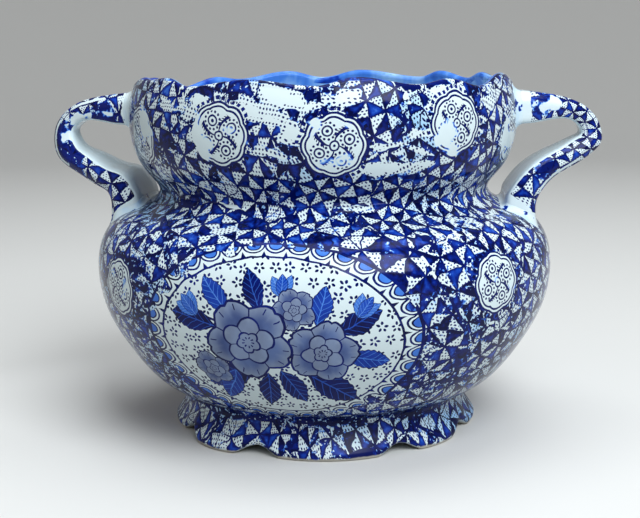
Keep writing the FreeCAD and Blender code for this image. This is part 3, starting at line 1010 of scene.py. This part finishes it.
def collar_section(top):
    """Section of the collar up to a rim height: outside, rounded lip, inside."""
    lip_radius = COLLAR_WALL / 2
    shoulder = top - lip_radius
    outside = stretch(WALL, WALL_RUN, SEAM_HIGH, shoulder, WALL_ROWS)
    inside = as_inside(stretch(INSIDE, INSIDE_ALONG, SEAM_HIGH, shoulder, WALL_ROWS))
    middle = (outside[-1, 0] + inside[0, 0]) / 2
    half = (outside[-1, 0] - inside[0, 0]) / 2
    outer_lip = []
    inner_lip = []
    for k in range(LIP_ROWS):
        turn = math.pi / 2 * (k + 1) / LIP_ROWS
        outer_lip.append((middle + half * math.cos(turn), outside[-1, 1] + lip_radius * turn,
                          shoulder + lip_radius * math.sin(turn)))
        inner_lip.append((middle - half * math.sin(turn - math.pi / 2 / LIP_ROWS),
                          INSIDE_RUN - lip_radius * (math.pi / 2 - turn),
                          shoulder + lip_radius * math.cos(turn - math.pi / 2 / LIP_ROWS)))
    return np.vstack([outside, outer_lip, inner_lip, inside])


def make_collar(finish):
    whole = collar_section(RIM_HEIGHT)
    dipped = collar_section(RIM_HEIGHT - DEEPEST_DIP)
    return turn_piece("collar_glazed", whole, finish, first_shift=dipped - whole,
                      waves=lambda angle: (rim_drop(angle) / DEEPEST_DIP, 0.0))


def make_waist(finish):
    outside = stretch(WALL, WALL_RUN, SEAM_LOW, SEAM_HIGH, 3)
    inside = as_inside(stretch(INSIDE, INSIDE_ALONG, SEAM_LOW, SEAM_HIGH, 3))
    return turn_piece("waist_slip_smoothed", np.vstack([outside, inside, outside[:1]]), finish)


def make_foot(finish):
    """Lobed foot: the section at a notch, shifted outwards by the lobes and upwards by the arches."""
    heights, radii, stand_out = np.array(FOOT_LEVELS[::-1]).T
    levels = np.linspace(FOOT_TOP, SOLE_TOP, FOOT_ROWS)
    section = [(FOOT_HOLLOW_TOP, -INSIDE_RUN, FOOT_TOP), (FOOT_LEVELS[0][1], -INSIDE_RUN, FOOT_TOP)]
    lobes = [0.0, 0.0]
    for level in levels:
        section.append((np.interp(level, heights, radii), level - FOOT_TOP, level))
        lobes.append(np.interp(level, heights, stand_out))
    for radius, level in FOOT_SOLE:
        section.append((radius, INSIDE_RUN, level))
        lobes.append(stand_out[0] if radius > SOLE_BREAK else 0.0)
    for level in np.linspace(HOLLOW_START, FOOT_TOP, FOOT_ROWS // 2):
        radius = FOOT_HOLLOW_BOTTOM + level / FOOT_TOP * (FOOT_HOLLOW_TOP - FOOT_HOLLOW_BOTTOM)
        section.append((radius, INSIDE_RUN, level))
        lobes.append(0.0)
    section = np.array(section)
    outward = np.zeros_like(section)
    outward[:, 0] = lobes
    upward = np.zeros_like(section)
    upward[:, 2] = NOTCH_RISE * (1 - section[:, 2] / FOOT_TOP)
    return turn_piece("foot_ring_glazed", section, finish, outward, upward, foot_lobe_and_arch)


def make_foot_bead(finish):
    """Soft hollow of slip in the crease, from the foot's flank to the bowl's underside."""
    low = np.array([FOOT_LEVELS[0][1] - SLIP_TUCK, -CREASE_REACH, FOOT_TOP - CREASE_REACH])
    corner = np.array([FOOT_LEVELS[0][1], 0.0, BOWL_BASE])
    high = np.array([np.interp(CREASE_REACH, WALL_RUN, WALL[:, 0]), CREASE_REACH,
                     np.interp(CREASE_REACH, WALL_RUN, WALL[:, 1]) + SLIP_TUCK])
    section = [(FOOT_HOLLOW_TOP, INSIDE_RUN, FOOT_TOP), (low[0], INSIDE_RUN, FOOT_TOP)]
    for share in np.linspace(0, 1, SLIP_STEPS + 2):
        section.append(arc_point(low, corner, high, share))
    for radius in (corner[0], FOOT_HOLLOW_TOP):
        section.append((radius, INSIDE_RUN, BOWL_BASE + SLIP_TUCK))
    section.append(section[0])
    return turn_piece("foot_slip_bead", section, finish)


# Strap handles and their slip


def strap_section():
    """Places round the strap's section, as the edge of the eight-cornered outline and the share along it.

    The walk starts and ends in the middle of the inner face, and its steps skip the corners to round them.
    """
    places = []
    for edge, skip in enumerate(STRAP_ROUNDING):
        places += [(edge, share) for share in np.linspace(skip, 1 - skip, 5)]
    opening = [place for place in places if place[0] == 0 and place[1] < 0.5]
    middle = (0, 0.5)
    walked = [place for place in places if place not in opening and place != middle]
    return [middle] + walked + [(8, share) for _, share in opening] + [(8, 0.5)]


STRAP_PLACES = strap_section()


def strap_corners(station, sag):
    """Eight corners of the strap's section: bevelled widely on its outer face, lightly on its inner one."""
    outer_x, outer_z, inner_x, inner_z, side = station
    inner = np.array([inner_x, 0, inner_z + sag])
    outer = np.array([outer_x, 0, outer_z + sag])
    thickness = np.linalg.norm(outer - inner)
    across = (outer - inner) / thickness
    wide = STRAP_OUTER_BEVEL
    light = STRAP_INNER_BEVEL
    corners = [(0, light - side), (0, side - light), (light, side), (thickness - wide, side),
               (thickness, side - wide), (thickness, wide - side), (thickness - wide, -side), (light, -side)]
    return [inner + across * depth + np.array([0, y, 0]) for depth, y in corners]


def strap_lines(sag):
    """Fine lines along the right-hand strap, one for each place round its section."""
    corners = np.array([strap_corners(station, sag if i in SLANTING_STATIONS else 0.0)
                        for i, station in enumerate(HANDLE_STATIONS)])
    shares = np.linspace(0, 1, len(HANDLE_STATIONS))
    fine = natural_curve(corners, shares, np.linspace(0, 1, FINE))
    return np.array([fine[:, edge % 8] * (1 - share) + fine[:, (edge + 1) % 8] * share
                     for edge, share in STRAP_PLACES])


def nearest_on_wall(points, profile):
    """Points as radius and height, with the nearest points of a profile and the outward directions there."""
    flat = np.stack([np.hypot(points[..., 0], points[..., 1]), points[..., 2]], axis=-1).reshape(-1, 2)
    nearest = np.linalg.norm(flat[:, None] - profile[None], axis=2).argmin(axis=1)
    along = np.gradient(profile, axis=0)
    outward = np.stack([along[:, 1], -along[:, 0]], axis=1)
    outward /= np.linalg.norm(outward, axis=1)[:, None]
    return flat, profile[nearest], outward[nearest]


def height_over_wall(points):
    """Distance of points from the pot's outside, negative within it."""
    flat, wall, outward = nearest_on_wall(points, WALL[::COARSE_STEP])
    return np.einsum("ij,ij->i", flat - wall, outward).reshape(points.shape[:-1])


def on_wall(points, height):
    """Moves points onto the pot's outside, or a small height over it, along their own angle."""
    flat, wall, outward = nearest_on_wall(points, WALL)
    target = wall + outward * height
    scale = target[:, 0] / flat[:, 0]
    return np.stack([points[:, 0] * scale, points[:, 1] * scale, target[:, 1]], axis=1)


def crossing(heights, level, from_end):
    """Place along each line where it first rises past a height over the wall, from its start or its end."""
    count = heights.shape[1]
    places = []
    for row in heights:
        steps = range(1, count // 2)
        if from_end:
            row = row[::-1]
        step = next(s for s in steps if row[s] >= level > row[s - 1] or (s == 1 and row[0] >= level))
        part = (level - row[step - 1]) / (row[step] - row[step - 1])
        place = step - 1 + min(max(part, 0.0), 1.0)
        places.append(count - 1 - place if from_end else place)
    return np.array(places)


def at_places(lines, places):
    """The point of each line at its own place."""
    low = np.clip(places.astype(int), 0, lines.shape[1] - 2)
    part = (places - low)[:, None]
    pick = np.arange(len(lines))
    return lines[pick, low] * (1 - part) + lines[pick, low + 1] * part


def ring_faces(rings, count, closed=False, first=0):
    """Faces between rings of points in turn, and where closed from the last ring back to the first."""
    faces = []
    for k in range(rings if closed else rings - 1):
        for j in range(count):
            corners = [(k, j), (k + 1, j), (k + 1, j + 1), (k, j + 1)]
            faces.append([first + ring % rings * count + place % count for ring, place in corners])
    return faces


def mesh_piece(name, points, faces, maps, finish, mirrored):
    """A smooth piece from its points, its faces and a print coordinate for each face corner."""
    points = np.array(points)
    if mirrored:
        points[:, 0] *= -1
        faces = [face[::-1] for face in faces]
        maps = {label: [corners[::-1] for corners in values] for label, values in maps.items()}
    mesh = bpy.data.meshes.new(name)
    mesh.from_pydata(points.tolist(), [], faces)
    for label, values in maps.items():
        layer = mesh.uv_layers.new(name=label)
        flat = [uv for corners in values for uv in corners]
        layer.data.foreach_set("uv", np.array(flat, np.float32).ravel())
    mesh.shade_smooth()
    mesh.materials.append(finish)
    mesh.validate()
    piece = bpy.data.objects.new(name, mesh)
    bpy.context.scene.collection.objects.link(piece)
    return piece


def make_handle(side, lines, heights, finish):
    """The strap between its roots, each line ending just inside the wall, with caps that the wall hides."""
    start = crossing(heights, -ROOT_DEPTH, False)
    end = crossing(heights, -ROOT_DEPTH, True)
    around_count = len(lines) - 1
    rows = [at_places(lines, start + (end - start) * k / (STRAP_ROWS - 1)) for k in range(STRAP_ROWS)]
    rows = np.array(rows)
    along = lengths_along(rows[:, around_count // 2])
    across = lengths_along(rows[STRAP_ROWS // 2])
    face_place = [edge + share for edge, share in STRAP_PLACES]
    points = rows[:, :around_count].reshape(-1, 3).tolist()
    faces = []
    maps = {"print": [], "faces": []}
    for k in range(STRAP_ROWS - 1):
        for j in range(around_count):
            after = (j + 1) % around_count
            faces.append([k * around_count + j, k * around_count + after, (k + 1) * around_count + after,
                          (k + 1) * around_count + j])
            corners = [(k, j), (k, j + 1), (k + 1, j + 1), (k + 1, j)]
            maps["print"].append([(along[a], across[b]) for a, b in corners])
            maps["faces"].append([(face_place[b], a / (STRAP_ROWS - 1)) for a, b in corners])
    for first, order in ((0, -1), ((STRAP_ROWS - 1) * around_count, 1)):
        faces.append([first + j for j in range(around_count)][::order])
        maps["print"].append([(0.0, 0.0)] * around_count)
        maps["faces"].append([(0.0, 0.0)] * around_count)
    return mesh_piece(f"handle_{side}_glazed", points, faces, maps, finish, side == "left")


def make_slip(name, lines, heights, from_end, finish, mirrored):
    """Fillet of slip round one root of the strap, hollow from strap to wall and closed under the glaze."""
    lines = lines[:-1]
    heights = heights[:-1]
    rise = at_places(lines, crossing(heights, SLIP_RISE, from_end))
    foot = at_places(lines, crossing(heights, 0.0, from_end))
    root = at_places(lines, crossing(heights, -ROOT_DEPTH, from_end))
    middle = foot.mean(axis=0)
    outward = foot - np.roll(foot, 1, axis=0) + np.roll(foot, -1, axis=0) - foot
    wall_normal = on_wall(foot, 0.001) - on_wall(foot, 0.0)
    outward = np.cross(outward, wall_normal)
    outward /= np.linalg.norm(outward, axis=1)[:, None]
    outward *= np.sign(np.einsum("ij,ij->i", outward, foot - middle))[:, None]
    for _ in range(SMOOTHINGS):
        outward = (np.roll(outward, 1, axis=0) + 2 * outward + np.roll(outward, -1, axis=0)) / 4
    spread = on_wall(foot + outward * SLIP_SPREAD, -SLIP_TUCK)
    rise = rise + (middle - foot) * FILLET_TUCK
    corner = foot + outward * FILLET_FULLNESS
    loops = [arc_point(rise, corner, spread, k / SLIP_STEPS) for k in range(SLIP_STEPS + 1)]
    loops.append(on_wall(spread, -ROOT_DEPTH))
    loops.append(root + (middle - foot) * ROOT_TUCK)
    points = np.array(loops).reshape(-1, 3)
    faces = ring_faces(len(loops), len(foot), closed=True)
    if from_end:
        faces = [face[::-1] for face in faces]
    maps = {"print": [[(0.0, 0.0)] * 4 for _ in faces]}
    return mesh_piece(name, points, faces, maps, finish, mirrored)


# Assembly


def settle(piece, node):
    """Lets a piece stand for its CAD node, on the pot's one body."""
    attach(piece, "root")
    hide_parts(node)


def assemble():
    belly_print = belly_finish()
    collar_print = collar_finish()
    handle_print = handle_finish()
    white_slip = slip_finish()
    settle(make_belly(belly_print), "belly_bowl")
    settle(make_collar(collar_print), "collar")
    settle(make_waist(belly_print), "waist_slip")
    settle(make_foot(foot_finish()), "foot_ring")
    settle(make_foot_bead(belly_print), "foot_slip")
    for side in ("left", "right"):
        lines = strap_lines(HANDLE_SAG[side])
        heights = height_over_wall(lines)
        settle(make_handle(side, lines, heights, handle_print), "handle_" + side)
        for end, from_end in (("upper", False), ("lower", True)):
            node = f"{end}_{side}_slip"
            bead = make_slip(node + "_fillet", lines, heights, from_end, white_slip, side == "left")
            settle(bead, node)


# Studio


def make_backdrop():
    """Pale round floor that curves up into a wall all round the pot."""
    profile = [(COVE_MIDDLE, 0.0), (COVE_FLOOR, 0.0)]
    for k in range(1, COVE_STEPS + 1):
        turn = math.pi / 2 * k / COVE_STEPS
        profile.append((COVE_FLOOR + COVE_BEND * math.sin(turn), COVE_BEND * (1 - math.cos(turn))))
    profile.append((COVE_FLOOR + COVE_BEND, COVE_TOP))
    points = [(0.0, 0.0, 0.0)]
    for radius, height in profile:
        for k in range(COVE_SIDES):
            turn = math.tau * k / COVE_SIDES
            points.append((radius * math.cos(turn), radius * math.sin(turn), height))
    faces = [(0, 1 + k, 1 + (k + 1) % COVE_SIDES) for k in range(COVE_SIDES)]
    faces += ring_faces(len(profile), COVE_SIDES, first=1)
    mesh = bpy.data.meshes.new("backdrop")
    mesh.from_pydata(points, [], faces)
    mesh.shade_smooth()
    material = bpy.data.materials.new("pale_paper")
    material.use_nodes = True
    tree = material.node_tree
    shader = tree.nodes["Principled BSDF"]
    rays = add_node(tree, "ShaderNodeLightPath").outputs
    shown = union(*(Field(tree, rays[f"Is {kind} Ray"]) for kind in ("Camera", "Glossy", "Transmission")))
    feed(shader.inputs["Base Color"], blend(shown, BOUNCE_PAPER, PALE_PAPER))
    shader.inputs["Roughness"].default_value = PAPER_ROUGHNESS
    mesh.materials.append(material)
    backdrop = bpy.data.objects.new("backdrop", mesh)
    bpy.context.scene.collection.objects.link(backdrop)


def add_lamp(name, place, size, power, colour):
    """Soft square lamp that looks at the pot."""
    lamp = bpy.data.lights.new(name, "AREA")
    lamp.size = size
    lamp.energy = power
    lamp.color = colour
    made = bpy.data.objects.new(name, lamp)
    made.location = place
    made.rotation_euler = (Vector((0, 0, LAMP_AIM)) - Vector(place)).to_track_quat("-Z", "Y").to_euler()
    bpy.context.scene.collection.objects.link(made)


def light_studio():
    for lamp in LAMPS:
        add_lamp(*lamp)
    world = bpy.data.worlds.new("studio")
    world.use_nodes = True
    sky = world.node_tree.nodes["Background"].inputs
    sky["Color"].default_value = SKY_COLOUR
    sky["Strength"].default_value = SKY_STRENGTH
    bpy.context.scene.world = world
    bpy.context.scene.view_settings.view_transform = "Standard"


def place_camera():
    """Camera at the photograph's place, angle and focal length."""
    data = bpy.data.cameras.new("photo_view")
    data.sensor_width = SENSOR_WIDTH
    data.lens = SENSOR_WIDTH * FOCAL_PIXELS / PHOTO_WIDTH
    camera = bpy.data.objects.new("photo_view", data)
    angle = math.radians(CAMERA_ANGLE)
    stand = Vector((CAMERA_DISTANCE * math.sin(angle), -CAMERA_DISTANCE * math.cos(angle), CAMERA_HEIGHT))
    aim = (Matrix.Rotation(math.radians(CAMERA_ANGLE + CAMERA_YAW), 4, "Z")
           @ Matrix.Rotation(math.radians(90 - CAMERA_TILT), 4, "X")
           @ Matrix.Rotation(math.radians(CAMERA_ROLL), 4, "Z"))
    camera.matrix_world = Matrix.Translation(stand) @ aim
    bpy.context.scene.collection.objects.link(camera)
    bpy.context.scene.camera = camera


assemble()
make_backdrop()
light_studio()
place_camera()
